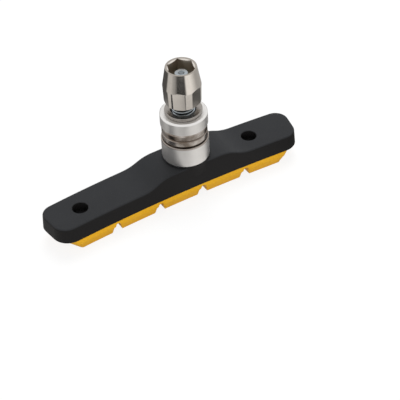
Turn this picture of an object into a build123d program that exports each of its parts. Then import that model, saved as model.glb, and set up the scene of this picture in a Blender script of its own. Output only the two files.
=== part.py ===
from build123d import *
import math
import os

# Bicycle rim brake pad, in millimetres. It stands on its friction face, in the plane z = 0, and its stud
# points along +Z, with the stud's axis on the Z axis. X runs along the shoe, with the short end on +X, and
# the shoe bends round the wheel's axle, which lies far off on the -Y side.

# Shoe: a bar bent along the rim, with its inner side a little fuller at the middle
shoe_length = 70.4
shoe_width = 11.8
inner_side_belly = 0.4
rim_curve_radius = 325.0
inner_corner_radius = 4.2
outer_corner_radius = 3.8
short_end_lean = 5.8
stud_offset = 5.1

# Friction block: a lip, then bevelled blocks with grooves between them, and a round ramp at each end, with
# its middle shifted to the bar's outer side
friction_height = 3.8
lip_height = 1.5
lip_step = 0.25
side_bevel = 0.7
end_setback = 0.15
end_ramp = 4.05
end_round_margin = 2.1
end_face_radius = 12.0
end_round_shift = 0.8
groove_count = 4
groove_pitch = 12.5
groove_offset = 5.15
groove_mouth = 2.9
groove_wall_angle = 15.0
groove_web_inner_side = 0.65
groove_web_outer_side = 1.9
groove_floor_radius = 0.6

# Carrier: a moulded bar with a crown and a round seat at the stud
carrier_height = 4.0
inner_draft_angle = 7.5
outer_draft_angle = 5.0
end_draft_angle = 3.0
carrier_edge_radius = 0.4
crown_rise = 2.0
crown_flat_length = 14.0
crown_ramp_length = 9.0
seat_rise = 0.4
seat_radius = 6.1
seat_foot_radius = 5.7
pin_hole_radius = 2.0
pin_hole_long_side = 31.1
pin_hole_short_side = 18.3

# Backing plate: a steel strip moulded into the carrier
plate_thickness = 1.2
plate_floor = 0.5
plate_margin = 2.4
plate_corner_radius = 2.0

# Stud: M6, riveted into the backing plate, with its collar level with the seat
stud_radius = 2.95
stud_reach = 24.8
rivet_radius = 2.4
collar_radius = 4.2
point_radius = 1.7
point_length = 0.5
point_taper_length = 2.2
centre_mark_radius = 0.8
centre_mark_depth = 0.7

# Ball washers: a thick cup, two domes back to back and a thin cup
cup_radius = 6.0
cup_land = 0.3
cup_edge_chamfer = 0.2
cup_bore_clearance = 0.2
inner_cup_height = 5.7
outer_cup_height = 3.4
outer_cup_shoulder = 0.4
ball_radius = 9.0
ball_gap = 0.05
dome_radius = 5.75
dome_height = 2.075
dome_edge_chamfer = 0.3
dome_rim_height = 1.45
dome_skirt_width = 0.43
dome_skirt_height = 0.86
swivel_clearance = 0.9

# Flat washer, a hair above the outer cup
flat_washer_radius = 4.75
flat_washer_thickness = 0.8
flat_washer_edge = 0.15
flat_washer_clearance = 0.25
flat_washer_lift = 0.05

# Nut: a barrel with six narrow flats that run out at its waist, a cone and a hexagon socket, backed off from
# the flat washer
nut_gap = 2.5
nut_foot_radius = 4.65
nut_foot_chamfer = 0.2
nut_barrel_height = 4.8
nut_waist_radius = 4.81
nut_cone_height = 5.25
nut_rim_radius = 3.91
nut_rim_chamfer = 0.12
nut_flat_depth = 0.26
nut_flat_turn = 19.0
nut_flat_run_out_angle = 29.0
nut_thread_clearance = 0.05
socket_across_flats = 6.1
socket_depth = 4.6
socket_turn = 13.0

# Levels, from the friction face up
lip_level = friction_height - lip_height
plate_level = friction_height + plate_floor
plate_top = plate_level + plate_thickness
flat_level = friction_height + carrier_height
crown_level = flat_level + crown_rise
seat_level = crown_level + seat_rise
inner_cup_top = seat_level + inner_cup_height
clamp_level = inner_cup_top + dome_height
outer_cup_level = clamp_level + dome_height
outer_cup_top = outer_cup_level + outer_cup_height
flat_washer_level = outer_cup_top + flat_washer_lift
flat_washer_top = flat_washer_level + flat_washer_thickness
nut_level = flat_washer_top + nut_gap
nut_waist_level = nut_level + nut_barrel_height
nut_top = nut_waist_level + nut_cone_height
stud_tip = seat_level + stud_reach

# Both ball seats have one radius, and their centres lie on the stud's axis
ball_rise = math.sqrt(ball_radius**2 - (cup_radius - cup_land)**2)
inner_ball_centre = inner_cup_top + ball_rise
outer_ball_centre = outer_cup_level - ball_rise
swivel_bore = stud_radius + swivel_clearance

# The bar's middle line passes through the stud, which sets its curve centre, and each end is a turn away
curve_centre_y = -math.sqrt(rim_curve_radius**2 - stud_offset**2)
end_turn = shoe_length / 2 / rim_curve_radius


def bar_point(radius, turn):
    """Plan point at a radius about the axle, turned from the middle of the bar towards the short end."""
    return Vector(radius * math.sin(turn) - stud_offset, radius * math.cos(turn) + curve_centre_y)


def bar_outline(level, end_inset, inner_inset, outer_inset, inner_corner, outer_corner):
    """Outline of the bar, drawn in from its ends and sides. The long end is square to the curve, and the
    short end leans out towards the outer side of the bend."""
    half_turn = end_turn - end_inset / rim_curve_radius
    inner_side = rim_curve_radius - shoe_width / 2
    inner = inner_side + inner_inset
    outer = rim_curve_radius + shoe_width / 2 - outer_inset
    lean = math.tan(math.radians(short_end_lean))
    inner_left, outer_left = bar_point(inner, -half_turn), bar_point(outer, -half_turn)
    inner_right = bar_point(inner, half_turn + lean * (inner - inner_side) / inner)
    outer_right = bar_point(outer, half_turn + lean * (outer - inner_side) / outer)
    outline = make_face([
        ThreePointArc(outer_left, bar_point(outer, 0), outer_right),
        Line(outer_right, inner_right),
        ThreePointArc(inner_right, bar_point(inner - inner_side_belly, 0), inner_left),
        Line(inner_left, outer_left),
    ])
    outline = fillet(outline.vertices().sort_by(Axis.Y)[:2], inner_corner)
    corners = outline.vertices().sort_by(Axis.X)
    outline = fillet([corners[0], corners[-1]], outer_corner)
    return Pos(0, 0, level) * outline


def inset_outline(level, inset):
    """Outline of the bar, drawn in evenly all round."""
    return bar_outline(level, inset, inset, inset, inner_corner_radius - inset, outer_corner_radius - inset)


def turned(*points):
    """Solid turned about the Z axis from (radius, level) points."""
    profile = Polyline([(radius, 0, level) for radius, level in points], close=True)
    return revolve(make_face(profile), Axis.Z)


def ball(centre, radius):
    return Pos(0, 0, centre) * Sphere(radius)


def round_hole(x, y, radius, bottom, top):
    centre_on_bottom = (Align.CENTER, Align.CENTER, Align.MIN)
    return Pos(x, y, bottom) * Cylinder(radius, top - bottom, align=centre_on_bottom)


def groove_cutter(x):
    """Cross groove at x, with leaning walls and a floor that gets shallower towards the outer side."""
    deepest = friction_height - groove_web_inner_side
    lean = math.tan(math.radians(groove_wall_angle))
    half_floor = groove_mouth / 2 - deepest * lean
    half_below = groove_mouth / 2 + friction_height * lean
    section = Polyline(
        (x - half_below, 0, -friction_height), (x - half_floor, 0, deepest),
        (x + half_floor, 0, deepest), (x + half_below, 0, -friction_height), close=True,
    )
    walls = extrude(make_face(section), shoe_width, dir=(0, 1, 0), both=True)
    fall = groove_web_outer_side - groove_web_inner_side
    below_floor = Polyline(
        (x, -shoe_width, -friction_height), (x, -shoe_width, deepest + fall / 2),
        (x, shoe_width, deepest - fall * 3 / 2), (x, shoe_width, -friction_height), close=True,
    )
    cutter = walls & extrude(make_face(below_floor), groove_mouth * 2, dir=(1, 0, 0), both=True)
    along_floor = [
        edge for edge in cutter.edges() if edge.length > shoe_width and edge.center().Z > 0
    ]
    return fillet(along_floor, groove_floor_radius)


def ramp_cutter(side):
    """What lies outside the ramp at one end of the bar: -1 is the long end and 1 the short end."""
    joint_radius = shoe_width / 2 + end_round_margin
    at_joint = -side * (end_setback + joint_radius)
    at_face = -side * (end_setback + end_ramp + end_face_radius)
    ramp = loft([
        Pos(at_face, end_round_shift, 0) * Circle(end_face_radius),
        Pos(at_joint, end_round_shift, friction_height) * Circle(joint_radius),
    ], ruled=True)
    outward = Align.MIN if side > 0 else Align.MAX
    surround = Pos(-side * joint_radius, 0, 0) * Box(
        joint_radius + shoe_width, joint_radius * 2, friction_height,
        align=(outward, Align.CENTER, Align.MIN),
    )
    to_end = Rot(0, 0, -side * math.degrees(end_turn)) * Pos(0, rim_curve_radius, 0)
    return Pos(-stud_offset, curve_centre_y, 0) * to_end * (surround - ramp)


def make_friction_block():
    lip = extrude(inset_outline(lip_level, 0), lip_height)
    root = inset_outline(lip_level, lip_step)
    face = inset_outline(0, lip_step + side_bevel)
    block = lip + loft([root, face], ruled=True)
    for side in (-1, 1):
        block -= ramp_cutter(side)
    for index in range(groove_count):
        block -= groove_cutter((index - (groove_count - 1) / 2) * groove_pitch - groove_offset)
    return block


def make_backing_plate():
    outline = bar_outline(
        plate_level, plate_margin, plate_margin, plate_margin, plate_corner_radius, plate_corner_radius,
    )
    return extrude(outline, plate_thickness) - round_hole(0, 0, rivet_radius, plate_level, plate_top)


def make_stud():
    taper_level = stud_tip - point_length - point_taper_length
    return turned(
        (0, plate_level), (rivet_radius, plate_level), (rivet_radius, plate_top), (collar_radius, plate_top),
        (collar_radius, seat_level), (stud_radius, seat_level), (stud_radius, taper_level),
        (point_radius, stud_tip - point_length), (point_radius, stud_tip),
        (centre_mark_radius, stud_tip), (0, stud_tip - centre_mark_depth),
    )


def crown_profile():
    """Side view of the carrier's back: flat ends, and a crown joined to them by S-shaped ramps."""
    flat_half = crown_flat_length / 2
    bend_half = flat_half + crown_ramp_length / 2
    foot_half = flat_half + crown_ramp_length
    bend_level = flat_level + crown_rise / 2
    edges = [
        Line((-flat_half, 0, crown_level), (flat_half, 0, crown_level)),
        Polyline(
            (-foot_half, 0, flat_level), (-shoe_length, 0, flat_level), (-shoe_length, 0, 0),
            (shoe_length, 0, 0), (shoe_length, 0, flat_level), (foot_half, 0, flat_level),
        ),
    ]
    for side in (-1, 1):
        bend = (side * bend_half, 0, bend_level)
        edges.append(TangentArc((side * flat_half, 0, crown_level), bend, tangent=(side, 0, 0)))
        edges.append(TangentArc((side * foot_half, 0, flat_level), bend, tangent=(-side, 0, 0)))
    return make_face(edges)


def make_carrier(backing_plate, stud):
    height = carrier_height + crown_rise
    inner_inset = height * math.tan(math.radians(inner_draft_angle))
    outer_inset = height * math.tan(math.radians(outer_draft_angle))
    end_inset = height * math.tan(math.radians(end_draft_angle))
    foot = inset_outline(friction_height, 0)
    head = bar_outline(
        crown_level, end_inset, inner_inset, outer_inset,
        inner_corner_radius - inner_inset, outer_corner_radius - outer_inset,
    )
    bar = loft([foot, head], ruled=True) & extrude(crown_profile(), shoe_width, dir=(0, 1, 0), both=True)
    back_outline = [
        edge for edge in bar.edges()
        if edge.center().Z > flat_level - carrier_edge_radius and edge.geom_type != GeomType.LINE
    ]
    bar = fillet(back_outline, carrier_edge_radius)
    seat_height = seat_level - friction_height
    seat = Pos(0, 0, friction_height + seat_height / 2) * Cone(seat_foot_radius, seat_radius, seat_height)
    carrier = bar + seat - backing_plate - stud
    for x in (-pin_hole_long_side, pin_hole_short_side):
        y = math.sqrt(rim_curve_radius**2 - (x + stud_offset)**2) + curve_centre_y
        carrier -= round_hole(x, y, pin_hole_radius, plate_top, crown_level)
    return carrier


def make_inner_cup():
    bore = stud_radius + cup_bore_clearance
    blank = turned(
        (bore, seat_level), (cup_radius - cup_edge_chamfer, seat_level),
        (cup_radius, seat_level + cup_edge_chamfer), (cup_radius, inner_cup_top - cup_edge_chamfer),
        (cup_radius - cup_edge_chamfer, inner_cup_top), (bore, inner_cup_top),
    )
    return blank - ball(inner_ball_centre, ball_radius)


def make_outer_cup():
    blank = turned(
        (swivel_bore, outer_cup_level), (cup_radius - cup_edge_chamfer, outer_cup_level),
        (cup_radius, outer_cup_level + cup_edge_chamfer), (cup_radius, outer_cup_top - outer_cup_shoulder),
        (cup_radius - outer_cup_shoulder, outer_cup_top), (swivel_bore, outer_cup_top),
    )
    return blank - ball(outer_ball_centre, ball_radius)


def make_dome(side, ball_centre):
    """Dome with its flat face on the clamp level and its crown on this side of it, -1 down or 1 up."""
    rim = clamp_level + side * dome_rim_height
    skirt = rim + side * dome_skirt_height
    crown = clamp_level + side * ball_radius
    blank = turned(
        (swivel_bore, clamp_level), (dome_radius - dome_edge_chamfer, clamp_level),
        (dome_radius, clamp_level + side * dome_edge_chamfer), (dome_radius, rim),
        (dome_radius - dome_skirt_width, skirt), (dome_radius - dome_skirt_width, crown),
        (swivel_bore, crown),
    )
    return blank & ball(ball_centre, ball_radius - ball_gap)


def make_flat_washer():
    bore = stud_radius + flat_washer_clearance
    return turned(
        (bore, flat_washer_level), (flat_washer_radius - flat_washer_edge, flat_washer_level),
        (flat_washer_radius, flat_washer_level + flat_washer_edge),
        (flat_washer_radius, flat_washer_top - flat_washer_edge),
        (flat_washer_radius - flat_washer_edge, flat_washer_top), (bore, flat_washer_top),
    )


def hexagon(half_across_flats, turn, level):
    return Pos(0, 0, level) * RegularPolygon(half_across_flats, 6, major_radius=False, rotation=turn)


def make_nut():
    bore = stud_radius + nut_thread_clearance
    barrel = turned(
        (bore, nut_level), (nut_foot_radius - nut_foot_chamfer, nut_level),
        (nut_foot_radius, nut_level + nut_foot_chamfer), (nut_waist_radius, nut_waist_level),
        (nut_rim_radius, nut_top - nut_rim_chamfer), (nut_rim_radius - nut_rim_chamfer, nut_top),
        (bore, nut_top),
    )
    waist_flats = nut_waist_radius - nut_flat_depth
    run_out = nut_cone_height * math.tan(math.radians(nut_flat_run_out_angle))
    flats = loft([
        hexagon(nut_foot_radius - nut_flat_depth, nut_flat_turn, nut_level),
        hexagon(waist_flats, nut_flat_turn, nut_waist_level),
        hexagon(waist_flats + run_out, nut_flat_turn, nut_top),
    ], ruled=True)
    socket = extrude(hexagon(socket_across_flats / 2, socket_turn, nut_top - socket_depth), socket_depth)
    return (barrel & flats) - socket


backing_plate = make_backing_plate()
stud = make_stud()
nodes = {
    "friction_block": make_friction_block(),
    "carrier": make_carrier(backing_plate, stud),
    "backing_plate": backing_plate,
    "stud": stud,
    "inner_cup": make_inner_cup(),
    "inner_dome": make_dome(-1, inner_ball_centre),
    "outer_dome": make_dome(1, outer_ball_centre),
    "outer_cup": make_outer_cup(),
    "flat_washer": make_flat_washer(),
    "nut": make_nut(),
}

os.makedirs("parts", exist_ok=True)
for name, solid in nodes.items():
    export_step(solid, f"parts/{name}.step")
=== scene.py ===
import math

import bmesh
import bpy
import numpy as np
from mathutils import Matrix, Vector


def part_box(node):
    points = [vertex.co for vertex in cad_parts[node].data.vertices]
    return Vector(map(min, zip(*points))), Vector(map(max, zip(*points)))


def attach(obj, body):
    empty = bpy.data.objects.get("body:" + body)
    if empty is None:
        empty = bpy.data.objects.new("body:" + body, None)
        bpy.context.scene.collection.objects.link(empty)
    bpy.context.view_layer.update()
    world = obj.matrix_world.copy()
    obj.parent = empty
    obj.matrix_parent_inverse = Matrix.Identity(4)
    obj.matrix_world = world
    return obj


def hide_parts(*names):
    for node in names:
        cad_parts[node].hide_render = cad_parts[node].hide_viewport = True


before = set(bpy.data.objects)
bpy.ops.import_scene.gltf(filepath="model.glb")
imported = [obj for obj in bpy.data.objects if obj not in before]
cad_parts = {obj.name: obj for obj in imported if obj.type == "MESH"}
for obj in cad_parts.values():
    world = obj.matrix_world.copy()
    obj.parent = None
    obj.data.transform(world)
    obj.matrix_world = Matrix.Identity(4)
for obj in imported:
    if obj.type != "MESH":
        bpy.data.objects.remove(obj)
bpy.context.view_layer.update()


# Backing plate: a strip of pressed steel, blackened, that the carrier is moulded around.
# The stud is riveted into it. Only two round spots of it show, at the bottom of the holes
# that the mould's holding pins leave in the carrier's back.
MM = 0.001


class Term:
    """A socket of a node tree. Sums on terms are written as plain expressions, one Math node for each."""

    def __init__(self, socket):
        self.socket = socket

    def __add__(self, other):
        return maths("ADD", self, other)

    def __radd__(self, other):
        return maths("ADD", other, self)

    def __sub__(self, other):
        return maths("SUBTRACT", self, other)

    def __rsub__(self, other):
        return maths("SUBTRACT", other, self)

    def __mul__(self, other):
        return maths("MULTIPLY", self, other)

    def __rmul__(self, other):
        return maths("MULTIPLY", other, self)

    def __truediv__(self, other):
        return maths("DIVIDE", self, other)

    def __rtruediv__(self, other):
        return maths("DIVIDE", other, self)


def feed(socket, value):
    """Link a term, or each term of a list, to a socket, or set the socket's own value."""
    if isinstance(value, (Term, list)):
        for term in value if isinstance(value, list) else [value]:
            socket.id_data.links.new(term.socket, socket)
    else:
        socket.default_value = value


def maths(operation, *values):
    """A Math node on numbers and terms, at least one of them a term."""
    tree = next(value for value in values if isinstance(value, Term)).socket.id_data
    node = tree.nodes.new("ShaderNodeMath")
    node.operation = operation
    for socket, value in zip(node.inputs, values):
        feed(socket, value)
    return Term(node.outputs[0])


def socket_of(sockets, key):
    """Socket of a node, by its number, its identifier or its name."""
    if isinstance(key, int):
        return sockets[key]
    return next(socket for socket in sockets if key in (socket.identifier, socket.name))


class Wiring:
    """A node tree, with one way to add a node: its type, its settings, then its sockets' values or links."""

    def __init__(self, tree):
        self.tree = tree

    def add(self, kind, settings=(), sockets=(), out=0):
        """Add a node. Gives the term of one output, or a list of terms where out is a tuple."""
        node = self.tree.nodes.new(kind)
        for name, value in dict(settings).items():
            if name == "stops":
                ramp = node.color_ramp
                while len(ramp.elements) < len(value):
                    ramp.elements.new(1)
                for stop, (position, level) in zip(ramp.elements, value):
                    stop.position = position
                    stop.color = (level, level, level, 1)
            else:
                setattr(node, name, value)
        for key, value in dict(sockets).items():
            feed(socket_of(node.inputs, key), value)
        if isinstance(out, tuple):
            return [Term(socket_of(node.outputs, key)) for key in out]
        return Term(socket_of(node.outputs, out))

    def noise(self, place, size, detail=2, roughness=0.5):
        """Soft noise from 0 to 1, with lumps of about this size in millimetres."""
        return self.add("ShaderNodeTexNoise", {}, {
            "Vector": place, "Scale": 1 / (size * MM), "Detail": detail, "Roughness": roughness,
        })

    def mix(self, share, first, second):
        """Colour between two others."""
        return self.add("ShaderNodeMix", {"data_type": "RGBA"}, {
            "Factor_Float": share, "A_Color": first, "B_Color": second,
        }, "Result_Color")

    def ramp(self, value, *stops):
        """Grey level that follows a value through stops of (value, level)."""
        return self.add("ShaderNodeValToRGB", {"stops": stops}, {"Fac": value})

    def soft_step(self, value, start, stop):
        """Level that goes from 0 to 1 as a value goes from start to stop, with soft ends."""
        return self.add("ShaderNodeMapRange", {"interpolation_type": "SMOOTHSTEP"}, {
            "Value": value, "From Min": start, "From Max": stop,
        })

    def bump(self, height, depth):
        """Normal of a surface with this relief, whose depth is in millimetres."""
        return self.add("ShaderNodeBump", {}, {"Height": height, "Distance": depth * MM, "Strength": 1.0})


class Finish(Wiring):
    """Material of one of the object's finishes, with the place on the piece as a term."""

    def __init__(self, name):
        self.material = bpy.data.materials.new(name)
        self.material.use_nodes = True
        super().__init__(self.material.node_tree)
        self.place = self.add("ShaderNodeTexCoord", out="Object")
        self.x, self.y, self.z = self.add("ShaderNodeSeparateXYZ", {}, {0: self.place}, ("X", "Y", "Z"))
        self.radius = maths("SQRT", self.x * self.x + self.y * self.y)

    def surface(self, **sockets):
        """Set or link the shader's sockets, named in words with underscores."""
        shader = self.tree.nodes["Principled BSDF"]
        for name, value in sockets.items():
            feed(shader.inputs[name.replace("_", " ")], value)


def screen(red, green, blue):
    """Colour for a shader, from its levels on a screen, 0 to 255, by the usual sRGB curve."""
    levels = [level / 255 for level in (red, green, blue)]
    return (*[(level / 12.92 if level < 0.04 else ((level + 0.055) / 1.055)**2.4) for level in levels], 1)


blackening = Finish("blackened_steel")
scale = blackening.noise(blackening.place, 0.25, 4)
blackening.surface(
    Base_Color=blackening.mix(scale, screen(14, 14, 15), screen(30, 29, 30)),
    Metallic=0.6,
    Roughness=scale * 0.25 + 0.4,
    Normal=blackening.bump(scale, 0.01),
)
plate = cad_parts["backing_plate"]
plate.data.materials.clear()
plate.data.materials.append(blackening.material)


# Stud: M6, cold headed and thread rolled, with a dog point and a small centre mark in its end.
# It is zinc plated, which leaves it bluish and bright. Its lower end is riveted into the plate,
# and its thread shows between the flat washer and the nut and down the nut's socket.
def rounded(corners, steps=5):
    """Profile through corners of (radius, level, corner radius). A point is held close to both ends of each
    arc, so that the flat faces beside it are shaded flat."""
    points = []
    for index, (radius, level, fillet) in enumerate(corners):
        here = Vector((radius, level))
        if fillet == 0:
            points.append(here)
            continue
        to_last = (Vector(corners[index - 1][:2]) - here).normalized()
        to_next = (Vector(corners[(index + 1) % len(corners)][:2]) - here).normalized()
        half_angle = to_last.angle(to_next) / 2
        reach = fillet / math.tan(half_angle)
        centre = here + (to_last + to_next).normalized() * (fillet / math.sin(half_angle))
        start = here + to_last * reach - centre
        end = here + to_next * reach - centre
        hold = fillet / 3
        points.append(centre + start + to_last * hold)
        for step in range(steps + 1):
            points.append(centre + start.slerp(end, step / steps) * fillet)
        points.append(centre + end + to_next * hold)
    return points


def turned_mesh(name, profile, columns=192, closed=True):
    """Mesh turned about the stud's axis from (radius, level) points in millimetres. A radius may be an array
    with a value for each column. A closed profile makes a ring with a bore."""
    angles = np.arange(columns) * 2 * math.pi / columns
    rows = np.array([
        np.stack([radius * np.cos(angles), radius * np.sin(angles), np.full(columns, level)], axis=1)
        for radius, level in profile
    ])
    return grid_mesh(name, rows, closed)


def grid_mesh(name, rows, closed):
    """Mesh of rows of points in millimetres. Each row is a ring, and where closed, the last row joins the
    first."""
    count, columns = rows.shape[:2]
    faces = []
    for row in range(count if closed else count - 1):
        below, above = row * columns, (row + 1) % count * columns
        for column in range(columns):
            beside = (column + 1) % columns
            faces.append((below + column, below + beside, above + beside, above + column))
    mesh = bpy.data.meshes.new(name)
    mesh.from_pydata((rows.reshape(-1, 3) * MM).tolist(), [], faces)
    return mesh


def new_object(name, mesh):
    """Object at the origin, linked to the scene."""
    thing = bpy.data.objects.new(name, mesh)
    bpy.context.scene.collection.objects.link(thing)
    return thing


def settle(mesh, sharp_angle=None):
    """Merge doubled points, turn the faces outwards and shade the mesh smoothly between sharp edges."""
    doubled = 0.0005 * MM
    work = bmesh.new()
    work.from_mesh(mesh)
    bmesh.ops.remove_doubles(work, verts=work.verts, dist=doubled)
    bmesh.ops.dissolve_degenerate(work, edges=work.edges, dist=doubled)
    bmesh.ops.recalc_face_normals(work, faces=work.faces)
    work.to_mesh(mesh)
    work.free()
    mesh.shade_smooth()
    if sharp_angle:
        mesh.set_sharp_from_angle(angle=math.radians(sharp_angle))
    return mesh


def fit(name, mesh, finish, body, node):
    """Put a finished mesh in the place of a solid."""
    mesh.materials.clear()
    mesh.materials.append(finish.material)
    thing = new_object(name, mesh)
    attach(thing, body)
    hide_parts(node)


class Rule(Wiring):
    """Geometry node tree with a named input for each size, which are read as terms."""

    def __init__(self, name, **inputs):
        super().__init__(bpy.data.node_groups.new(name, "GeometryNodeTree"))
        self.values = inputs
        sockets = self.tree.interface
        sockets.new_socket("Geometry", in_out="OUTPUT", socket_type="NodeSocketGeometry")
        sockets.new_socket("Geometry", in_out="INPUT", socket_type="NodeSocketGeometry")
        kinds = {int: "NodeSocketInt", float: "NodeSocketFloat", bpy.types.Object: "NodeSocketObject"}
        for key, value in inputs.items():
            kind = "NodeSocketVector" if isinstance(value, tuple) else kinds[type(value)]
            sockets.new_socket(key, in_out="INPUT", socket_type=kind)
        source = self.tree.nodes.new("NodeGroupInput")
        self.end = self.tree.nodes.new("NodeGroupOutput")
        self.size = {socket.name: Term(socket) for socket in source.outputs if socket.name}

    def bake(self, geometry, mesh, material):
        """Mesh that the rule makes of another one."""
        whole = self.add("GeometryNodeRealizeInstances", {}, {"Geometry": geometry})
        dressed = self.add("GeometryNodeSetMaterial", {}, {"Geometry": whole, "Material": material})
        feed(self.end.inputs[0], dressed)
        blank = new_object(mesh.name + "_blank", mesh)
        modifier = blank.modifiers.new(self.tree.name, "NODES")
        modifier.node_group = self.tree
        for item in self.tree.interface.items_tree:
            if item.in_out == "INPUT" and item.name in self.values:
                modifier[item.identifier] = self.values[item.name]
        ready = blank.evaluated_get(bpy.context.evaluated_depsgraph_get())
        result = bpy.data.meshes.new_from_object(ready)
        blank.modifiers.remove(modifier)
        bpy.data.objects.remove(blank)
        return result


thread_pitch, thread_depth, thread_columns, thread_rows = 1.0, 0.55, 96, 16
thread_root, thread_crest, thread_overrun = 0.12, 0.9, 0.1
plain_length, seam_gap = 1.0, 0.001
stud_radius, rivet_radius, collar_radius = 2.95, 2.4, 4.2
point_radius, point_length, taper_length = 1.7, 0.5, 2.2
point_edge, tip_edge, mark_edge = 0.1, 0.15, 0.06
mark_radius, mark_depth = 0.8, 0.7
stud_low, stud_high = [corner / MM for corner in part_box("stud")]
seat_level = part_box("inner_cup")[0].z / MM
plate_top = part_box("backing_plate")[1].z / MM
thread_start = seat_level + plain_length
taper_start = stud_high.z - point_length - taper_length
taper_slope = (stud_radius - point_radius) / taper_length
thread_end = taper_start + (thread_depth + thread_overrun) / taper_slope

foot = turned_mesh("stud", [
    (0, stud_low.z), (rivet_radius, stud_low.z), (rivet_radius, plate_top), (collar_radius, plate_top),
    (collar_radius, seat_level), (stud_radius, seat_level), (stud_radius, thread_start),
], thread_columns, closed=False)
point = turned_mesh("stud_point", [
    (stud_radius - (thread_end - taper_start) * taper_slope, thread_end),
    *rounded([
        (stud_radius, taper_start, 0), (point_radius, stud_high.z - point_length, point_edge),
        (point_radius, stud_high.z, tip_edge), (mark_radius, stud_high.z, mark_edge),
        (0, stud_high.z - mark_depth, 0),
    ])[1:],
], thread_columns, closed=False)
ends = bmesh.new()
ends.from_mesh(foot)
ends.from_mesh(point)
ends.to_mesh(foot)
ends.free()

zinc = Finish("zinc_plate")
thread = Rule(
    "rolled thread", Pitch=thread_pitch * MM, Depth=thread_depth * MM, Radius=stud_radius * MM,
    Start=thread_start * MM, End=thread_end * MM, Taper=taper_start * MM, Slope=taper_slope,
    Turns=math.ceil((thread_end - thread_start) / thread_pitch) + 1, Columns=thread_columns, Rows=thread_rows,
)
sizes = thread.size
grid = thread.add("GeometryNodeMeshGrid", {}, {
    "Size X": 1.0, "Size Y": sizes["Turns"], "Vertices X": sizes["Columns"] + 1,
    "Vertices Y": sizes["Turns"] * sizes["Rows"] + 1,
})
across, along = thread.add(
    "ShaderNodeSeparateXYZ", {}, {0: thread.add("GeometryNodeInputPosition")}, ("X", "Y"),
)
turn, ridge = across + 0.5, along + sizes["Turns"] / 2
level = sizes["Start"] + (ridge + turn - 1) * sizes["Pitch"]
level = maths("MINIMUM", maths("MAXIMUM", level, sizes["Start"]), sizes["End"])
crest = maths("ABSOLUTE", maths("FRACT", ridge) * 2 - 1)
flank = thread.soft_step(crest, thread_root, thread_crest)
run_out = maths("MINIMUM", (level - sizes["Start"]) / sizes["Pitch"], 1)
cut = sizes["Radius"] - (1 - flank) * sizes["Depth"] * run_out
cone = sizes["Radius"] - (level - sizes["Taper"]) * sizes["Slope"]
radius = maths("MINIMUM", cut, cone)
helix = thread.add("GeometryNodeSetPosition", {}, {"Geometry": grid, "Position": thread.add(
    "ShaderNodeCombineXYZ", {}, {
        "X": radius * maths("COSINE", turn * 2 * math.pi),
        "Y": radius * maths("SINE", turn * 2 * math.pi), "Z": level,
    },
)})
joined = thread.add("GeometryNodeJoinGeometry", {}, {"Geometry": [sizes["Geometry"], helix]})
closed_thread = thread.add("GeometryNodeMergeByDistance", {}, {"Geometry": joined, "Distance": seam_gap * MM})
stud = settle(thread.bake(closed_thread, foot, zinc.material), sharp_angle=50)

# Painted shade darkens the thread's roots and the centre mark.
haze = zinc.noise(zinc.place, 0.5, 3)
shaded_root_depth, mark_shade = thread_depth * 0.45, 0.5
painted_root_shade = maths("LESS_THAN", zinc.radius, (stud_radius - shaded_root_depth) * MM)
painted_root_shade = painted_root_shade * maths("LESS_THAN", zinc.z, taper_start * MM)
painted_mark_shade = maths("LESS_THAN", zinc.radius, mark_radius * MM) * mark_shade
painted_recess_shade = maths("MAXIMUM", painted_root_shade, painted_mark_shade)
plating = zinc.mix(haze, screen(140, 147, 152), screen(190, 197, 202))
zinc.surface(
    Base_Color=zinc.mix(painted_recess_shade, plating, screen(52, 55, 57)),
    Metallic=1.0,
    Roughness=haze * 0.15 + 0.16,
    Normal=zinc.bump(zinc.noise(zinc.place, 0.12, 2), 0.003),
)
fit("threaded_stud", stud, zinc, "shoe", "stud")


# Carrier: the bar that holds the friction block, injection moulded over the plate in glass-filled nylon.
# It bends along the rim, its sides lean in for the mould, and it thickens to a crown with a round seat
# where the stud stands. The mould's tool marks give it a fine dull grain.
shoe_length, shoe_width, rim_curve_radius, stud_offset = 70.4, 11.8, 325.0, 5.1
inner_corner_radius, outer_corner_radius, inner_side_belly = 4.2, 3.8, 0.4
short_end_lean = math.radians(5.8)
inner_draft, outer_draft, end_draft = [math.tan(math.radians(angle)) for angle in (7.5, 5.0, 3.0)]
crown_rise, crown_flat_length, crown_ramp_length = 2.0, 14.0, 9.0
back_edge_radius, joint_edge_radius = 0.4, 0.1
seat_rise, seat_radius, seat_foot_radius, seat_edge_radius = 0.4, 6.1, 5.7, 0.12
pin_radius, pin_chamfer, pin_sink = 2.0, 0.12, 0.2
pin_long_side, pin_short_side = 31.1, 18.3
joint_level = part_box("carrier")[0].z / MM
crown_level = seat_level - seat_rise
flat_level = crown_level - crown_rise
curve_centre_y = -math.sqrt(rim_curve_radius**2 - stud_offset**2)


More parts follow.
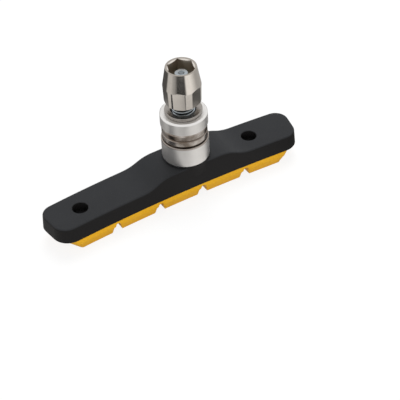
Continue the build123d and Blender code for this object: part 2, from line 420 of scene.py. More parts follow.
def bar_side(side, inset, end_inset, stations, corner_steps=10, run_steps=12):
    """Plan points along one long side of the bar with its two corners, from the long end to the short end.
    Side is 1 on the outer side of the bend and -1 on the inner side, and stations are places along X."""
    end_turn = (shoe_length / 2 - end_inset) / rim_curve_radius
    line = rim_curve_radius + side * (shoe_width / 2 - inset)
    corner = (outer_corner_radius if side > 0 else inner_corner_radius) - inset
    hub = line - side * corner
    corners, reaches = [], []
    for lean in (0, short_end_lean):
        set_back = (rim_curve_radius - shoe_width / 2) * math.sin(lean) + corner
        hub_turn = end_turn + lean - math.asin(set_back / hub)
        first_facing = hub_turn if side > 0 else math.pi + hub_turn
        facing = np.linspace(first_facing, math.pi / 2 + end_turn + lean, corner_steps + 1)[1:]
        arc = np.stack([np.sin(facing), np.cos(facing)], axis=1) * corner
        corners.append(arc + hub * np.array([math.sin(hub_turn), math.cos(hub_turn)]))
        reaches.append(line * math.sin(hub_turn))
    first, last = stations[0] + stud_offset, stations[-1] + stud_offset
    places = np.concatenate([
        np.linspace(-reaches[0], first, run_steps)[:-1], np.array(stations) + stud_offset,
        np.linspace(last, reaches[1], run_steps)[1:],
    ])
    points = np.stack([places, np.sqrt(line**2 - places**2)], axis=1)
    plan = np.concatenate([corners[0][::-1] * np.array([-1, 1]), points, corners[1]])
    if side < 0:
        turn = np.arctan2(plan[:, 0], plan[:, 1])
        fuller = inner_side_belly * (1 - (turn / end_turn)**2)
        plan *= (1 - fuller / np.linalg.norm(plan, axis=1))[:, None]
    return plan + np.array([-stud_offset, curve_centre_y])


def bar_ring(inner_inset, outer_inset, end_inset, stations, cells):
    """Plan points once round the bar. Both ends are cut into as many cells as the bar is across."""
    outer = bar_side(1, outer_inset, end_inset, stations)
    inner = bar_side(-1, inner_inset, end_inset, stations)
    steps = (np.arange(1, cells) / cells)[:, None]
    short_end = outer[-1] + (inner[-1] - outer[-1]) * steps
    long_end = inner[0] + (outer[0] - inner[0]) * steps
    return np.concatenate([outer, short_end, inner[::-1], long_end])


def bar_mesh(name, rings, cells):
    """Closed mesh of rings of points in millimetres. Rungs across the bar, each of several cells, close the
    first and the last ring."""
    count = len(rings[0])
    length = count // 2 - cells + 1
    points = list(rings)
    faces = []
    # The sides go from ring to ring.
    for ring in range(len(rings) - 1):
        for place in range(count):
            beside = (place + 1) % count
            faces.append((
                ring * count + place, ring * count + beside,
                (ring + 1) * count + beside, (ring + 1) * count + place,
            ))
    # Each rung goes from the outer side to the inner one. The first and the last rung lie on the ring.
    filled = len(rings) * count
    for ring in (0, len(rings) - 1):
        ends = np.arange(count) + ring * count
        outer, inner = ends[:length], ends[length + cells - 1:2 * length + cells - 1][::-1]
        rungs = np.zeros((length, cells + 1), int)
        rungs[:, 0], rungs[:, cells] = outer, inner
        rungs[-1, 1:cells] = ends[length:length + cells - 1]
        rungs[0, 1:cells] = ends[2 * length + cells - 1:][::-1]
        middle = (length - 2) * (cells - 1)
        rungs[1:-1, 1:cells] = filled + np.arange(middle).reshape(length - 2, cells - 1)
        steps = (np.arange(1, cells) / cells)[None, :, None]
        start, stop = rings[ring][outer[1:-1] - ring * count], rings[ring][inner[1:-1] - ring * count]
        points.append((start[:, None] + (stop - start)[:, None] * steps).reshape(-1, 3))
        filled += middle
        for rung in range(length - 1):
            for cell in range(cells):
                here, ahead = rungs[rung], rungs[rung + 1]
                faces.append((here[cell], ahead[cell], ahead[cell + 1], here[cell + 1]))
    faces = [[int(corner) for corner in face] for face in faces]
    mesh = bpy.data.meshes.new(name)
    mesh.from_pydata((np.concatenate(points) * MM).tolist(), [], faces)
    return mesh


def crown_height(x):
    """Height of the back above its flat ends: a flat crown with an S-shaped ramp on both sides."""
    half_ramp, half_rise = crown_ramp_length / 2, crown_rise / 2
    bend = (half_ramp**2 + half_rise**2) / crown_rise
    outside = np.clip(np.abs(x) - crown_flat_length / 2, 0, crown_ramp_length)
    upper = crown_rise - bend + np.sqrt(bend**2 - np.minimum(outside, half_ramp)**2)
    lower = bend - np.sqrt(bend**2 - np.minimum(crown_ramp_length - outside, half_ramp)**2)
    return np.where(outside < half_ramp, upper, lower)


carrier_cells, crown_steps, back_margin = 10, 65, 1.4
crown_reach = crown_flat_length / 2 + crown_ramp_length
carrier_stations = np.linspace(-crown_reach, crown_reach, crown_steps)
crown_depth = crown_level - joint_level
drawn_in = np.array([inner_draft, outer_draft, end_draft]) * crown_depth
foot_plan = bar_ring(0, 0, 0, carrier_stations, carrier_cells)
head_plan = bar_ring(*drawn_in, carrier_stations, carrier_cells)
edge_plan = bar_ring(*(drawn_in + back_edge_radius), carrier_stations, carrier_cells)
under_plan = bar_ring(
    joint_edge_radius, joint_edge_radius, joint_edge_radius, carrier_stations, carrier_cells,
)
back_level = flat_level + crown_height(foot_plan[:, 0])


def carrier_ring(levels, inward):
    """Ring on the carrier's leaning sides at these levels, moved in by a share of the back's edge radius."""
    share = ((levels - joint_level) / crown_depth)[:, None]
    plan = foot_plan + (head_plan - foot_plan) * share + (edge_plan - head_plan) * inward
    return np.column_stack([plan, levels])


# The rings go up from the joint: a small rounding, the leaning side, the round edge and the back's margin.
foot_levels = np.full(len(foot_plan), joint_level)
carrier_rings = [np.column_stack([under_plan, foot_levels])]
for share in (0.35, 1.0):
    rise = joint_edge_radius * share
    plan = under_plan + (foot_plan - under_plan) * math.sqrt(share)
    carrier_rings.append(np.column_stack([plan, foot_levels + rise]))
for share in (0.1, 0.5, 0.9):
    side_top = back_level - back_edge_radius
    start = foot_levels + joint_edge_radius
    carrier_rings.append(carrier_ring(start + (side_top - start) * share, 0))
for angle in np.linspace(0, math.pi / 2, 7):
    carrier_rings.append(carrier_ring(
        back_level - back_edge_radius * (1 - math.sin(angle)), 1 - math.cos(angle),
    ))
carrier_rings.append(carrier_ring(back_level, back_margin))
bar = settle(bar_mesh("carrier", carrier_rings, carrier_cells))

seat_blank_rise = 0.4
seat_blank_level = joint_level + seat_blank_rise
seat_lean = (seat_radius - seat_foot_radius) / (seat_level - joint_level)
seat_blank = new_object("seat_blank", settle(turned_mesh("seat_blank", [
    (0, seat_blank_level), *rounded([
        (0, seat_blank_level, 0), (seat_foot_radius + seat_blank_rise * seat_lean, seat_blank_level, 0),
        (seat_radius, seat_level, seat_edge_radius), (0, seat_level, 0),
    ])[1:],
], closed=False)))
pin_columns, pin_clear = 96, pin_chamfer * 3
pin_blank = new_object("pin_blank", settle(turned_mesh("pin_blank", [
    (0, plate_top - pin_sink), (pin_radius, plate_top - pin_sink), (pin_radius, flat_level - pin_chamfer),
    (pin_radius + pin_chamfer, flat_level), (pin_radius + pin_chamfer + pin_clear, flat_level + pin_clear),
    (0, flat_level + pin_clear),
], pin_columns, closed=False)))


def on_middle_line(x):
    """Point on the bar's middle line in plan, in metres."""
    y = math.sqrt(rim_curve_radius**2 - (x + stud_offset)**2) + curve_centre_y
    return (x * MM, y * MM, 0.0)


moulding = Finish("carrier_moulding")
mould = Rule(
    "mould pins and seat", Seat=seat_blank, Pin=pin_blank,
    Long=on_middle_line(-pin_long_side), Short=on_middle_line(pin_short_side),
)
sizes = mould.size
seat_shape = mould.add("GeometryNodeObjectInfo", {}, {"Object": sizes["Seat"]}, "Geometry")
seated = mould.add("GeometryNodeMeshBoolean", {"operation": "UNION", "solver": "EXACT"}, {
    "Mesh 2": [sizes["Geometry"], seat_shape],
})
pins = mould.add("GeometryNodeInstanceOnPoints", {}, {
    "Points": mould.add("GeometryNodeMeshLine", {"mode": "END_POINTS"}, {
        "Count": 2, "Start Location": sizes["Long"], "Offset": sizes["Short"],
    }),
    "Instance": mould.add("GeometryNodeObjectInfo", {}, {"Object": sizes["Pin"]}, "Geometry"),
})
drilled = mould.add("GeometryNodeMeshBoolean", {"operation": "DIFFERENCE", "solver": "EXACT"}, {
    "Mesh 1": seated, "Mesh 2": mould.add("GeometryNodeRealizeInstances", {}, {"Geometry": pins}),
})
carrier = settle(mould.bake(drilled, bar, moulding.material), sharp_angle=32)
for blank in (seat_blank, pin_blank):
    bpy.data.objects.remove(blank)

# The back, which faces up, is painted a lighter grey than the nearly black sides, as painted light, and has
# flow marks and dust.
grain = moulding.noise(moulding.place, 0.16, 3, 0.6)
flow = moulding.noise(moulding.place, 7.0, 3)
dust = moulding.ramp(moulding.noise(moulding.place, 0.5, 2, 0.7), (0.62, 0), (0.74, 1))
upward = moulding.add("ShaderNodeSeparateXYZ", {}, {0: moulding.add("ShaderNodeTexCoord", out="Normal")}, "Z")
# Painted light: faces that look up get the lighter grey.
painted_top_light = moulding.soft_step(upward, 0.3, 0.9)
lit_back_grey = moulding.mix(flow, screen(36, 37, 39), screen(43, 44, 46))
lit_back_grey = moulding.mix(dust * 0.35, lit_back_grey, screen(58, 58, 60))
moulding.surface(
    Base_Color=moulding.mix(painted_top_light, screen(24, 23, 23), lit_back_grey),
    Roughness=grain * 0.25 + 0.42,
    Specular_IOR_Level=0.15,
    Normal=moulding.bump(grain + flow * 0.3, 0.018),
)
fit("moulded_carrier", carrier, moulding, "shoe", "carrier")


# Friction block: the mustard-yellow compound that rubs on the rim, compression moulded onto the carrier.
# A lip runs along its sides, its blocks are bevelled, both ends have a round ramp, and four cross grooves
# with round floors clear water. The grooves get shallower towards the outer side of the bend.
friction_height, lip_height, lip_step, side_bevel = joint_level, 1.5, 0.25, 0.7
end_setback, end_ramp, end_joint_radius, end_face_radius, end_round_shift = 0.15, 4.05, 8.0, 12.0, 0.8
end_turn = shoe_length / 2 / rim_curve_radius
groove_count, groove_pitch, groove_offset, groove_mouth = 4, 12.5, 5.15, 2.9
groove_lean = math.tan(math.radians(15.0))
groove_web_inner, groove_web_outer = 0.65, 1.9
groove_floor_round, groove_mouth_round = 1.6, 0.35
# The stations along the block are closest where a groove's floor and mouth bend.
half_mouth = groove_mouth / 2
floor_end, mouth_start, mouth_end, beside, margin = half_mouth * np.array([0.4, 0.92, 1.08, 1.18, 1.4])
groove_stations = np.concatenate([
    np.linspace(0, floor_end, 5)[:-1], np.linspace(floor_end, mouth_start, 8)[:-1],
    np.linspace(mouth_start, mouth_end, 7), [beside, margin],
])
groove_stations = np.concatenate([-groove_stations[:0:-1], groove_stations])
block_stations = np.linspace(margin, groove_pitch - margin, 10)[1:-1]
friction_stations = []
for index in range(groove_count):
    groove_x = (index - (groove_count - 1) / 2) * groove_pitch - groove_offset
    friction_stations.extend(groove_x + groove_stations)
    if index < groove_count - 1:
        friction_stations.extend(groove_x + block_stations)
friction_cells = 16
lip_level = friction_height - lip_height
bevel_edge = lip_step + side_bevel
bevel_slope = lip_level / side_bevel


def within_ramps(plan, level, inset):
    """Plan points of a level, drawn in to the round ramps of both ends."""
    rise = level / friction_height
    radius = end_face_radius + (end_joint_radius - end_face_radius) * rise
    for side in (-1, 1):
        outward = np.array([side * math.cos(end_turn), -math.sin(end_turn)])
        across = np.array([side * math.sin(end_turn), math.cos(end_turn)])
        end = across * rim_curve_radius + np.array([-stud_offset, curve_centre_y])
        hub = end - outward * (end_setback + end_ramp * (1 - rise) + radius) + across * end_round_shift
        arm = plan - hub
        length = np.linalg.norm(arm, axis=1)
        beyond = (arm @ outward > 0) & (length > radius - inset)
        plan = np.where(beyond[:, None], hub + arm * ((radius - inset) / length)[:, None], plan)
    return plan


# The rings go down from the joint, each with its inset from the carrier's side and its level.
friction_rings = []
for inset, level in (
    # rounding at the joint with the carrier
    (0.14, friction_height), (0.04, friction_height - 0.03), (0, friction_height - 0.13),
    # rounded lip
    (0, lip_level + 0.14), (0.03, lip_level + 0.04), (0.1, lip_level),
    # step under the lip, with a small hollow
    (lip_step - 0.04, lip_level), (lip_step + 0.02, lip_level - 0.06),
    # bevel
    (lip_step + 0.08, lip_level - 0.08 * bevel_slope), (bevel_edge - 0.16, 0.16 * bevel_slope),
    # rounded edge of the friction face, and the face's margin
    (bevel_edge - 0.06, 0.075 * bevel_slope), (bevel_edge, 0.022 * bevel_slope), (bevel_edge + 0.1, 0.01),
    (bevel_edge + 0.25, 0), (bevel_edge + 0.6, 0),
):
    plan = bar_ring(inset, inset, inset, friction_stations, friction_cells)
    plan = within_ramps(plan, level, max(0, inset - bevel_edge))
    friction_rings.append(np.column_stack([plan, np.full(len(plan), level)]))
block = bar_mesh("friction_block", friction_rings, friction_cells)

friction = Finish("friction_compound")
grooves = Rule(
    "grooves", Pitch=groove_pitch * MM, Offset=groove_offset * MM, Count=groove_count,
    Mouth=groove_mouth * MM, Lean=groove_lean, Width=shoe_width * MM,
    Deepest=(friction_height - groove_web_inner) * MM, Fall=(groove_web_outer - groove_web_inner) * MM,
    Floor_round=groove_floor_round * MM, Mouth_round=groove_mouth_round * MM,
)
sizes = grooves.size
x, y, z = grooves.add(
    "ShaderNodeSeparateXYZ", {}, {0: grooves.add("GeometryNodeInputPosition")}, ("X", "Y", "Z"),
)
# With an even count, each groove lies half a step from a whole number of steps.
steps = (x + sizes["Offset"]) / sizes["Pitch"]
inside = maths("ABSOLUTE", maths("FRACT", steps) - 0.5)
outside = maths("ABSOLUTE", steps) - (sizes["Count"] - 1) / 2
aside = maths("MAXIMUM", inside, outside) * sizes["Pitch"]
wall = (sizes["Mouth"] / 2 - aside) / sizes["Lean"]
floor = sizes["Deepest"] - sizes["Fall"] * (y / sizes["Width"] + 0.5)
groove = maths("SMOOTH_MIN", floor, wall, sizes["Floor_round"])
height = maths("SMOOTH_MAX", z, groove, sizes["Mouth_round"])
raised = grooves.add("GeometryNodeSetPosition", {}, {
    "Geometry": sizes["Geometry"],
    "Position": grooves.add("ShaderNodeCombineXYZ", {}, {"X": x, "Y": y, "Z": height}),
})
block = settle(grooves.bake(raised, block, friction.material), sharp_angle=60)

pores = friction.noise(friction.place, 0.22, 4, 0.65)
cloud = friction.noise(friction.place, 4.0, 3)
fibre = friction.ramp(friction.noise(friction.place, 0.6, 2, 0.8), (0.6, 0), (0.78, 1))
yellow = friction.mix(cloud, screen(226, 166, 20), screen(236, 178, 36))
friction.surface(
    Base_Color=friction.mix(fibre * 0.3, yellow, screen(242, 196, 80)),
    Roughness=pores * 0.2 + 0.48,
    Specular_IOR_Level=0.25,
    Normal=friction.bump(pores + cloud * 0.2, 0.02),
)
fit("grooved_friction_block", block, friction, "shoe", "friction_block")


# Inner cup: the thick washer on the carrier's seat, turned from aluminium and anodised a satin silver.
# Its top is hollowed to a ball seat that the inner dome tilts in, for toe-in.
def levels_of(node):
    """Outer radius, bottom and top of a turned solid, in millimetres."""
    low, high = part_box(node)
    return high.x / MM, low.z / MM, high.z / MM


def ball_arc(centre, radius, start, stop, steps=14):
    """Sharp corners along a ball on the stud's axis, from one distance off the axis to another.
    A negative ball radius gives the ball's lower half."""
    return [
        (place, centre + math.copysign(math.sqrt(radius**2 - place**2), radius), 0)
        for place in np.linspace(start, stop, steps)
    ]


def lathe_lines(finish, per_mm, detail, roughness=0.5):
    """Noise in fine rings round the stud's axis, as a lathe leaves them, about this many to a millimetre."""
    return finish.add("ShaderNodeTexNoise", {"noise_dimensions": "1D"}, {
        "W": (finish.z + finish.radius) * (1 / MM), "Scale": per_mm, "Detail": detail, "Roughness": roughness,
    })


ball_radius, cup_land, cup_clearance = 9.0, 0.3, 0.2
cup_edge, cup_lip_edge, cup_bore_edge = 0.22, 0.132, 0.1
cup_radius, cup_bottom, cup_top = levels_of("inner_cup")
cup_hollow = cup_radius - cup_land
ball_rise = math.sqrt(ball_radius**2 - cup_hollow**2)
cup_bore = stud_radius + cup_clearance
inner_ball = cup_top + ball_rise
cup = turned_mesh("inner_cup", rounded([
    (cup_bore, cup_bottom, cup_bore_edge), (cup_radius, cup_bottom, cup_edge),
    (cup_radius, cup_top, cup_lip_edge),
    *ball_arc(inner_ball, -ball_radius, cup_hollow, cup_bore),
]))

# The lip of the cup, where the dome's skirt sits in it, is painted brown as painted shade between the parts.
satin = Finish("satin_silver")
lines = lathe_lines(satin, 7.0, 3.0, 0.6)
bloom = satin.noise(satin.place, 2.5, 3)
lip_shade_reach, lip_shade_full, lip_shade_strength = 0.55, 0.15, 0.7
painted_lip_shade = satin.soft_step(maths("ABSOLUTE", satin.z - cup_top * MM), lip_shade_reach * MM, lip_shade_full * MM)
silver = satin.mix(bloom * 0.6 + lines * 0.4, screen(222, 220, 217), screen(238, 236, 234))
satin.surface(
    Base_Color=satin.mix(painted_lip_shade * lip_shade_strength, silver, screen(138, 124, 112)),
    Metallic=1.0,
    Roughness=lines * 0.14 + 0.36,
    Normal=satin.bump(lines, 0.006),
)
fit("inner_ball_cup", settle(cup, sharp_angle=60), satin, "shoe", "inner_cup")


# Domes: two washers with a ball face each, turned from steel and plated, which stand flat face to flat face
# with the brake arm between them. Both have a chamfered edge, a plain rim and a skirt that dips into a cup.
dome_radius, dome_clamp = levels_of("outer_dome")[:2]
ball_gap, dome_rim, dome_skirt_width, dome_skirt_height = 0.05, 1.45, 0.43, 0.86
dome_chamfer, swivel_clearance, clamp_gap = 0.3, 0.9, 0.01
dome_edge, dome_face_edge = 0.1, 0.08
dome_face = dome_clamp + clamp_gap
dome_bore = stud_radius + swivel_clearance
outer_ball = 2 * dome_clamp - inner_ball
dome_skirt = dome_radius - dome_skirt_width
dome_ball = ball_radius - ball_gap
dome_arc = ball_arc(outer_ball, dome_ball, dome_skirt, dome_bore)
dome_profile = rounded([
    (dome_bore, dome_face, dome_edge), (dome_radius - dome_chamfer, dome_face, dome_face_edge),
    (dome_radius, dome_clamp + dome_chamfer, dome_edge), (dome_radius, dome_clamp + dome_rim, dome_edge),
    (dome_skirt, dome_clamp + dome_rim + dome_skirt_height, 0), *dome_arc,
])

# Painted shade darkens the crease where the domes meet and, faintly, the rest of each dome, and the outer
# dome is darker all over.
steel = Finish("turned_steel")
rings = lathe_lines(steel, 9.0, 2.0)
tint = steel.ramp(steel.noise(steel.place, 4.0, 3), (0.4, 0), (0.6, 1))
joint = maths("ABSOLUTE", steel.z - dome_clamp * MM)
joint_shade_reach, joint_shade_strength, outer_darkness = 2.0, 0.9, 0.22
painted_joint_shade = steel.ramp(joint * (1 / (joint_shade_reach * MM)), (0.06, 1), (0.22, 0), (0.66, 0), (0.8, 0.15))
painted_joint_shade = painted_joint_shade * joint_shade_strength
outer_darkening = maths("GREATER_THAN", steel.z, dome_clamp * MM) * outer_darkness
bronze = steel.mix(tint, screen(140, 129, 119), screen(208, 201, 195))
steel.surface(
    Base_Color=steel.mix(maths("MAXIMUM", painted_joint_shade, outer_darkening), bronze, screen(88, 74, 62)),
    Metallic=1.0,
    Roughness=rings * 0.12 + 0.2,
    Normal=steel.bump(rings, 0.004),
)
for side, body in ((1, "outer_dome"), (-1, "inner_dome")):
    profile = [(point[0], dome_clamp + side * (point[1] - dome_clamp)) for point in dome_profile]
    dome = settle(turned_mesh(body, profile), sharp_angle=60)
    fit(body.replace("dome", "ball_dome"), dome, steel, body, body)


# Outer cup: the thin washer over the outer dome, turned and anodised like the inner cup.
# It has a wide bevelled shoulder above, and its bore leaves room for the stud to tilt.
thin_radius, thin_bottom, thin_top = levels_of("outer_cup")
thin_shoulder, shoulder_foot_edge, shoulder_top_edge, thin_bore_edge = 0.4, 0.25, 0.2, 0.15
thin_cup = turned_mesh("outer_cup", rounded([
    *ball_arc(outer_ball, ball_radius, dome_bore, thin_radius - cup_land),
    (thin_radius, thin_bottom, cup_lip_edge), (thin_radius, thin_top - thin_shoulder, shoulder_foot_edge),
    (thin_radius - thin_shoulder, thin_top, shoulder_top_edge), (dome_bore, thin_top, thin_bore_edge),
]))
fit("outer_ball_cup", settle(thin_cup, sharp_angle=60), satin, "outer_cup", "outer_cup")


# Flat washer: a thin washer stamped from steel and nickel plated, under the nut.
# Its edges are tumbled round.
washer_radius, washer_bottom, washer_top = levels_of("flat_washer")
washer_clearance, washer_edge, punch_edge, burr_edge = 0.25, 0.2, 0.1, 0.12
washer_bore = stud_radius + washer_clearance
washer = turned_mesh("flat_washer", rounded([
    (washer_bore, washer_bottom, punch_edge), (washer_radius, washer_bottom, washer_edge),
    (washer_radius, washer_top, washer_edge), (washer_bore, washer_top, burr_edge),
]))

# The plating is rougher in the nut's broached socket and under its foot, where it is also painted a darker
# brown as painted shade, and it is duller on its faced rim and on the washer.
nickel = Finish("bright_plate")
cloudy = nickel.noise(nickel.place, 1.2, 3)
nut_low, nut_high = [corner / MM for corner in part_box("nut")]
lead_in_radius, lead_in_slope, lead_in_depth = 3.6, 1.5, 0.4
hair, lead_in_margin, faced_depth, stamped_margin = 0.02, 0.05, 0.13, 0.1
sunk = nut_high.z * MM - nickel.z
past_lead_in = maths("GREATER_THAN", nickel.radius + sunk * lead_in_slope, (lead_in_radius + hair) * MM)
in_socket = past_lead_in * maths("LESS_THAN", nickel.radius, (lead_in_radius - lead_in_margin) * MM)
under_nut = maths("LESS_THAN", maths("ABSOLUTE", nickel.z - nut_low.z * MM), hair * MM)
rough_shaded_socket_and_foot = maths("MAXIMUM", in_socket * maths("GREATER_THAN", nickel.z, nut_low.z * MM), under_nut)
faced = maths("LESS_THAN", sunk, faced_depth * MM)
stamped = maths("LESS_THAN", nickel.z, (washer_top + stamped_margin) * MM)
bright = nickel.mix(cloudy, screen(214, 207, 199), screen(224, 218, 211))
worn = nickel.mix(stamped, nickel.mix(faced, bright, screen(168, 161, 153)), screen(156, 151, 146))
nickel.surface(
    Base_Color=nickel.mix(rough_shaded_socket_and_foot, worn, screen(200, 187, 170)),
    Metallic=1.0,
    Roughness=cloudy * 0.06 + 0.09 + rough_shaded_socket_and_foot * 0.25 + faced * 0.12 + stamped * 0.16,
    Normal=nickel.bump(nickel.noise(nickel.place, 0.4, 2), 0.002),
)
washer = settle(washer, sharp_angle=60)
fit("plated_flat_washer", washer, nickel, "flat_washer", "flat_washer")


# Nut: a barrel turned from steel, with a cone above its waist, six narrow flats milled below it and a
# 6 mm hexagon socket broached in its end. It is nickel plated; the socket is rough and painted a darker brown
# as painted shade.
nut_foot_radius, nut_foot_chamfer, nut_barrel_height = 4.65, 0.2, 4.8
nut_waist_radius, nut_rim_radius = 4.81, 3.91
foot_edge, foot_side_edge, waist_edge, rim_edge = 0.06, 0.08, 0.12, 0.12
nut_flat_depth, nut_flat_corner, nut_flat_edge = 0.26, 19.0, 0.04
nut_flat_run_out = math.tan(math.radians(29.0))
nut_clearance, run_out_height = 0.05, 0.6
socket_half_flats, socket_depth, socket_corner, drill_fall = 3.05, 4.6, 13.0, 0.03
nut_columns, lead_in_rows, fine_row, coarse_row = 720, 12, 0.05, 0.16
nut_bore = stud_radius + nut_clearance
nut_waist = nut_low.z + nut_barrel_height
flare = (nut_waist_radius - nut_foot_radius) / nut_barrel_height
cone_slope = (nut_waist_radius - nut_rim_radius) / (nut_high.z - nut_waist)
angles = np.arange(nut_columns) * 2 * math.pi / nut_columns


def hexagon_radius(half_flats, corner):
    """Radius of a hexagon at each column, with its first corner at this angle."""
    return half_flats / np.cos((angles - math.radians(corner)) % (math.pi / 3) - math.pi / 6)


barrel_profile = rounded([
    (nut_bore, nut_low.z, 0), (nut_foot_radius - nut_foot_chamfer, nut_low.z, foot_edge),
    (nut_foot_radius, nut_low.z + nut_foot_chamfer, foot_side_edge),
    (nut_waist_radius, nut_waist, waist_edge),
    (nut_waist_radius - run_out_height * cone_slope, nut_waist + run_out_height, 0),
    (nut_rim_radius, nut_high.z, rim_edge), (lead_in_radius, nut_high.z, 0),
])
rows = []
for (radius, level), (above_radius, above_level) in zip(barrel_profile[:-1], barrel_profile[1:]):
    height = above_level - level
    pieces = max(1, round(abs(height) / (fine_row if abs(height) < run_out_height else coarse_row)))
    for share in np.arange(pieces) / pieces:
        turned = radius + (above_radius - radius) * share
        row_level = level + height * share
        flat = nut_foot_radius - nut_flat_depth + flare * (row_level - nut_low.z)
        flat += nut_flat_run_out * max(0, row_level - nut_waist)
        flats = hexagon_radius(flat, nut_flat_corner)
        # The smaller radius holds, flat or barrel, with a narrow rounded edge between them.
        blend = np.clip(0.5 + (flats - turned) / nut_flat_edge / 2, 0, 1)
        milled = flats + (turned - flats) * blend - nut_flat_edge * blend * (1 - blend)
        rows.append((milled, row_level))
socket_wall = hexagon_radius(socket_half_flats, socket_corner)
socket_floor = nut_high.z - socket_depth
for depth in np.linspace(0, lead_in_depth, lead_in_rows):
    rows.append((np.maximum(socket_wall, lead_in_radius - depth * lead_in_slope), nut_high.z - depth))
rows += [(socket_wall, socket_floor), (np.full(nut_columns, nut_bore), socket_floor - drill_fall)]
nut = settle(turned_mesh("nut", rows, nut_columns), sharp_angle=25)
fit("barrel_nut", nut, nickel, "nut", "nut")


# Studio: a pale floor under soft light, with the camera at the photograph's viewing angle.
# The plated metal mirrors the table near the pad, so a ring of glowing sheets lies on it out of view and
# shows only in the metal, as painted reflections of dark and grey cards and of the pad's shadow on the table.
camera_place = Vector((-142.53, -254.32, 247.64)) * MM
camera_right = Vector((0.849, -0.5269, -0.0398))
camera_down = Vector((-0.3719, -0.5423, -0.7534))
camera_ahead = Vector((0.3754, 0.6544, -0.6563))
picture_width, focal_pixels = 400, 1491.29
lens = bpy.data.cameras.new("camera")
lens.sensor_width = 36
lens.lens = lens.sensor_width * focal_pixels / picture_width
lens.clip_start = 0.01
camera = new_object("camera", lens)
stance = Matrix((camera_right, -camera_down, -camera_ahead)).transposed().to_4x4()
stance.translation = camera_place
camera.matrix_world = stance
bpy.context.scene.camera = camera


def in_view_of(wiring):
    """1 where a ray shows the surface, directly, in metal or through glass, and 0 where it only lights."""
    rays = ("Is Camera Ray", "Is Glossy Ray", "Is Transmission Ray")
    direct, mirrored, through = wiring.add("ShaderNodeLightPath", out=rays)
    return maths("MINIMUM", direct + mirrored + through, 1)


# In view the paper near the pad is grey with a glow of its own, which reads as white and keeps the shadow.
floor_half, shadow_reach, shadow_fade, near_glow, far_light = 1500, 120, 200, 0.85, 0.5
floor_mesh = bpy.data.meshes.new("floor")
floor_mesh.from_pydata(
    [(x * floor_half * MM, y * floor_half * MM, 0) for x, y in ((-1, -1), (1, -1), (1, 1), (-1, 1))],
    [], [(0, 1, 2, 3)],
)
floor = new_object("floor", floor_mesh)
paper = Finish("floor_paper")
in_view = in_view_of(paper)
far_off = paper.soft_step(paper.radius, shadow_reach * MM, (shadow_reach + shadow_fade) * MM)
fibres = paper.noise(paper.place, 6.0, 3)
white = (1, 1, 1, 1)
tone = paper.mix(fibres, screen(108, 108, 108), screen(112, 112, 112))
shade = paper.add("ShaderNodeBsdfDiffuse", {}, {"Color": paper.mix(in_view, screen(196, 196, 196), tone)})
glow = paper.add("ShaderNodeEmission", {}, {"Color": white, "Strength": in_view * near_glow})
near_by = paper.add("ShaderNodeAddShader", {}, {0: shade, 1: glow})
far_strength = in_view * (1 - far_light) + far_light
plain = paper.add("ShaderNodeEmission", {}, {"Color": white, "Strength": far_strength})
sheet = paper.add("ShaderNodeMixShader", {}, {0: far_off, 1: near_by, 2: plain})
feed(paper.tree.nodes["Material Output"].inputs["Surface"], sheet)
floor_mesh.materials.append(paper.material)


def between(value, start, stop, soft):
    """1 inside a range and 0 outside it, with soft edges."""
    return np.clip((value - start) / soft + 0.5, 0, 1) * np.clip((stop - value) / soft + 0.5, 0, 1)


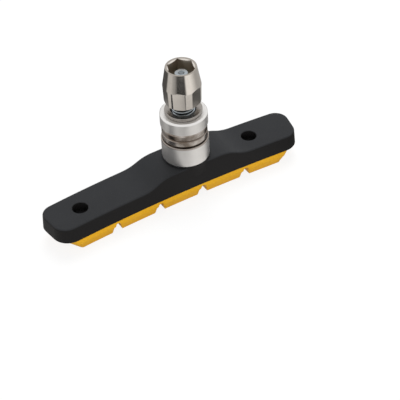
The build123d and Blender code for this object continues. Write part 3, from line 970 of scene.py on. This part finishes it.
# Each card has the turns from the camera's side that it lies between, its reaches from the stud in
# millimetres, the softness of both, and its brightness. A later card lies over the earlier ones.
ring_near, ring_far, ring_lift, ring_rows, ring_step = 9, 160, 0.3, 60, 2.5
ring_reaches, ring_turns = np.linspace(ring_near, ring_far, ring_rows), np.arange(-180, 180, ring_step)
reach, turn = np.meshgrid(ring_reaches, ring_turns, indexing="ij")
level = np.ones(reach.shape)
for start, stop, near, far, soft_turn, soft_reach, card_level in (
    # the first card, all round the pad, is its shadow on the table, painted grey
    (-400, 400, 0, 44, 1, 12, 0.62),
    (20, 170, 0, 27, 30, 6, 0.84),
    (-100, -40, 44, 150, 20, 10, 0.62),
    (72, 190, 44, 150, 40, 10, 0.45),
    (-46, 0, 58, 150, 36, 12, 0.06),
    (-26, 20, 58, 150, 10, 12, 0.05),
    (-400, -94, 14, 150, 8, 8, 0.09),
    (-400, -94, 26, 35, 8, 6, 0.4),
    (74, 132, 33, 46, 16, 8, 0.1),
    (-20, 12, 33, 52, 4, 6, 0.12),
):
    cover = between(turn, start, stop, soft_turn) * between(reach, near, far, soft_reach)
    level += (card_level - level) * cover
world_turn = np.radians(turn) + math.atan2(camera_place.y, camera_place.x)
ring_mesh = grid_mesh("mirrored_cards", np.stack(
    [reach * np.cos(world_turn), reach * np.sin(world_turn), np.full(reach.shape, ring_lift)], axis=2,
), closed=False)
ring_mesh.attributes.new("level", "FLOAT", "POINT").data.foreach_set("value", level.ravel())
# Painted reflection: the ring glows at each card's brightness and shows only in glossy rays.
cards = Finish("card_board")
warm_white = (1, 0.985, 0.96, 1)
shown = cards.add("ShaderNodeAttribute", {"attribute_name": "level"}, out="Fac")
glow = cards.add("ShaderNodeEmission", {}, {"Color": warm_white, "Strength": shown})
feed(cards.tree.nodes["Material Output"].inputs["Surface"], glow)
ring_mesh.materials.append(cards.material)
ring = new_object("mirrored_cards", ring_mesh)
ring.visible_camera = False
ring.visible_diffuse = False
ring.visible_transmission = False
ring.visible_shadow = False

world_light = 0.45
world = bpy.data.worlds.new("studio")
world.use_nodes = True
bpy.context.scene.world = world
backdrop = world.node_tree.nodes["Background"]
feed(backdrop.inputs["Color"], white)
feed(backdrop.inputs["Strength"], in_view_of(Wiring(world.node_tree)) * (1 - world_light) + world_light)


def softbox(name, place, target, width, power):
    """Square lamp that faces a target, in metres and watts. The metal doesn't mirror it."""
    lamp = bpy.data.lights.new(name, "AREA")
    lamp.size = width
    lamp.energy = power
    thing = new_object(name, lamp)
    thing.location = Vector(place)
    thing.rotation_euler = (Vector(target) - Vector(place)).to_track_quat("-Z", "Y").to_euler()
    thing.visible_glossy = False


softbox("key_light", (0.14, 0.2, 0.5), target=(0, 0, 0.01), width=0.35, power=2.3)
softbox("fill_light", (-0.22, -0.5, 0.25), target=(0, 0, 0.02), width=0.3, power=1.6)

bpy.context.scene.view_settings.view_transform = "Standard"
